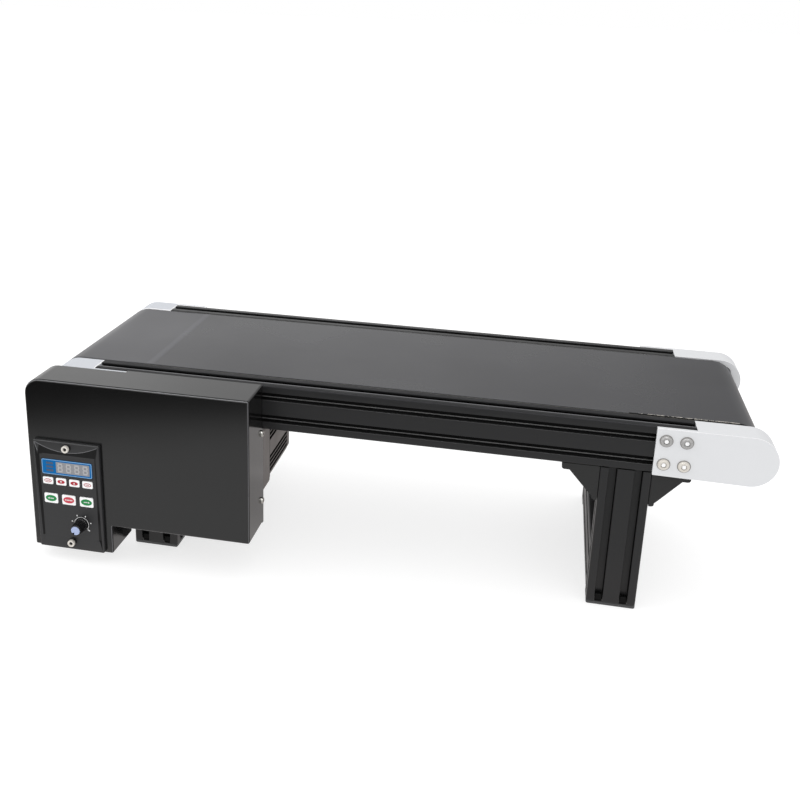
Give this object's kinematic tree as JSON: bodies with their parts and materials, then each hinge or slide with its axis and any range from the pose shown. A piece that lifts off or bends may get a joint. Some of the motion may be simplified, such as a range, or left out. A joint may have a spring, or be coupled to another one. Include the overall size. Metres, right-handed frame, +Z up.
{
  "type": "belt conveyor section",
  "caption": "Bench-top belt conveyor section on slotted aluminium legs, with gear motor, folded drive cover and speed controller.",
  "frame": {"origin": "on the floor, under the middle of the object's box", "axes": "+X along the belt towards the idler end, -Y towards the controller, +Z up"},
  "size_m": [0.606, 0.2476, 0.1665],
  "materials": {
    "black_anodised": "satin black anodised",
    "black_paint": "semi-gloss powder coat",
    "cast_black": "matt coated die casting",
    "white_paint": "satin white powder coat",
    "belt_rubber": "smooth satin",
    "timing_rubber": "matt",
    "steel": "bright",
    "stainless_screw": "bright turned",
    "roller_aluminium": "turned",
    "motor_grey": "satin cast",
    "black_plastic": "fine texture",
    "white_plastic": "smooth",
    "blue_window": "glossy"
  },
  "bodies": {
    "frame": {"near_rail": "black_anodised", "far_rail": "black_anodised", "drive_end_bracket_near": "white_paint", "drive_end_bracket_far": "white_paint", "idler_end_bracket_near": "white_paint", "idler_end_bracket_far": "white_paint", "slider_bed": "steel", "conveyor_belt": "belt_rubber", "drive_bearing_near": "steel", "drive_bearing_far": "steel", "near_drive_leg": "black_anodised", "far_drive_leg": "black_anodised", "near_idler_leg": "black_anodised", "far_idler_leg": "black_anodised", "near_drive_leg_end_cap": "black_plastic", "far_drive_leg_end_cap": "black_plastic", "near_idler_leg_end_cap": "black_plastic", "far_idler_leg_end_cap": "black_plastic", "drive_end_crossbar": "black_anodised", "idler_end_crossbar": "black_anodised", "near_drive_outer_corner_bracket": "cast_black", "far_drive_outer_corner_bracket": "cast_black", "far_drive_inner_corner_bracket": "cast_black", "near_idler_inner_corner_bracket": "cast_black", "near_idler_outer_corner_bracket": "cast_black", "far_idler_inner_corner_bracket": "cast_black", "far_idler_outer_corner_bracket": "cast_black", "drive_cover": "black_paint", "motor_mount_plate": "black_paint", "cover_screw_lower": "stainless_screw", "cover_screw_upper": "stainless_screw", "gearbox": "motor_grey", "motor_body": "motor_grey", "motor_end_cap": "motor_grey", "timing_belt": "timing_rubber", "controller_body": "black_plastic", "controller_bezel": "black_plastic", "display_window": "blue_window", "panel_screw_lower": "stainless_screw", "panel_screw_upper": "stainless_screw"},
    "drive_roller_set": {"drive_roller": "roller_aluminium", "drive_shaft": "steel", "driven_pulley": "roller_aluminium"},
    "motor_output": {"output_shaft": "steel", "motor_pulley": "roller_aluminium"},
    "take_up": {"take_up_carrier_near": "cast_black", "take_up_carrier_far": "cast_black", "idler_bearing_near": "steel", "idler_bearing_far": "steel"},
    "idler_roller_set": {"idler_roller": "roller_aluminium", "idler_shaft": "steel"},
    "speed_knob_set": {"speed_knob": "black_plastic", "knob_cap": "white_plastic"},
    "program_button_key": {"program_button": "white_plastic"},
    "down_button_key": {"down_button": "white_plastic"},
    "up_button_key": {"up_button": "white_plastic"},
    "enter_button_key": {"enter_button": "white_plastic"},
    "reverse_button_key": {"reverse_button": "white_plastic"},
    "stop_button_key": {"stop_button": "white_plastic"},
    "forward_button_key": {"forward_button": "white_plastic"}
  },
  "joints": [
    {"name": "drive_roller_spin", "type": "hinge", "parent": "frame", "child": "drive_roller_set", "pos_m": [-0.2815, 0.02475, 0.146], "axis": [0, 1, 0], "continuous": true},
    {"name": "motor_output_spin", "type": "hinge", "parent": "frame", "child": "motor_output", "pos_m": [-0.1405, -0.08725, 0.104], "axis": [0, 1, 0], "continuous": true},
    {"name": "take_up_slide", "type": "slide", "parent": "frame", "child": "take_up", "axis": [-1, 0, 0], "range_m": [0, 0.004]},
    {"name": "idler_roller_spin", "type": "hinge", "parent": "take_up", "child": "idler_roller_set", "pos_m": [0.275, 0.02475, 0.146], "axis": [0, 1, 0], "continuous": true},
    {"name": "speed_knob_turn", "type": "hinge", "parent": "frame", "child": "speed_knob_set", "pos_m": [-0.2582, -0.118, 0.0374], "axis": [0, 1, 0], "range_deg": [0, 300]},
    {"name": "program_button_press", "type": "slide", "parent": "frame", "child": "program_button_key", "axis": [0, 1, 0], "range_m": [0, 0.0005], "stiffness_N_per_m": 400},
    {"name": "down_button_press", "type": "slide", "parent": "frame", "child": "down_button_key", "axis": [0, 1, 0], "range_m": [0, 0.0005], "stiffness_N_per_m": 400},
    {"name": "up_button_press", "type": "slide", "parent": "frame", "child": "up_button_key", "axis": [0, 1, 0], "range_m": [0, 0.0005], "stiffness_N_per_m": 400},
    {"name": "enter_button_press", "type": "slide", "parent": "frame", "child": "enter_button_key", "axis": [0, 1, 0], "range_m": [0, 0.0005], "stiffness_N_per_m": 400},
    {"name": "reverse_button_press", "type": "slide", "parent": "frame", "child": "reverse_button_key", "axis": [0, 1, 0], "range_m": [0, 0.0005], "stiffness_N_per_m": 400},
    {"name": "stop_button_press", "type": "slide", "parent": "frame", "child": "stop_button_key", "axis": [0, 1, 0], "range_m": [0, 0.0005], "stiffness_N_per_m": 400},
    {"name": "forward_button_press", "type": "slide", "parent": "frame", "child": "forward_button_key", "axis": [0, 1, 0], "range_m": [0, 0.0005], "stiffness_N_per_m": 400}
  ],
  "couplings": [
    {"joint": "motor_output_spin", "follows": "drive_roller_spin", "ratio": 1.25},
    {"joint": "idler_roller_spin", "follows": "drive_roller_spin", "ratio": 1}
  ]
}
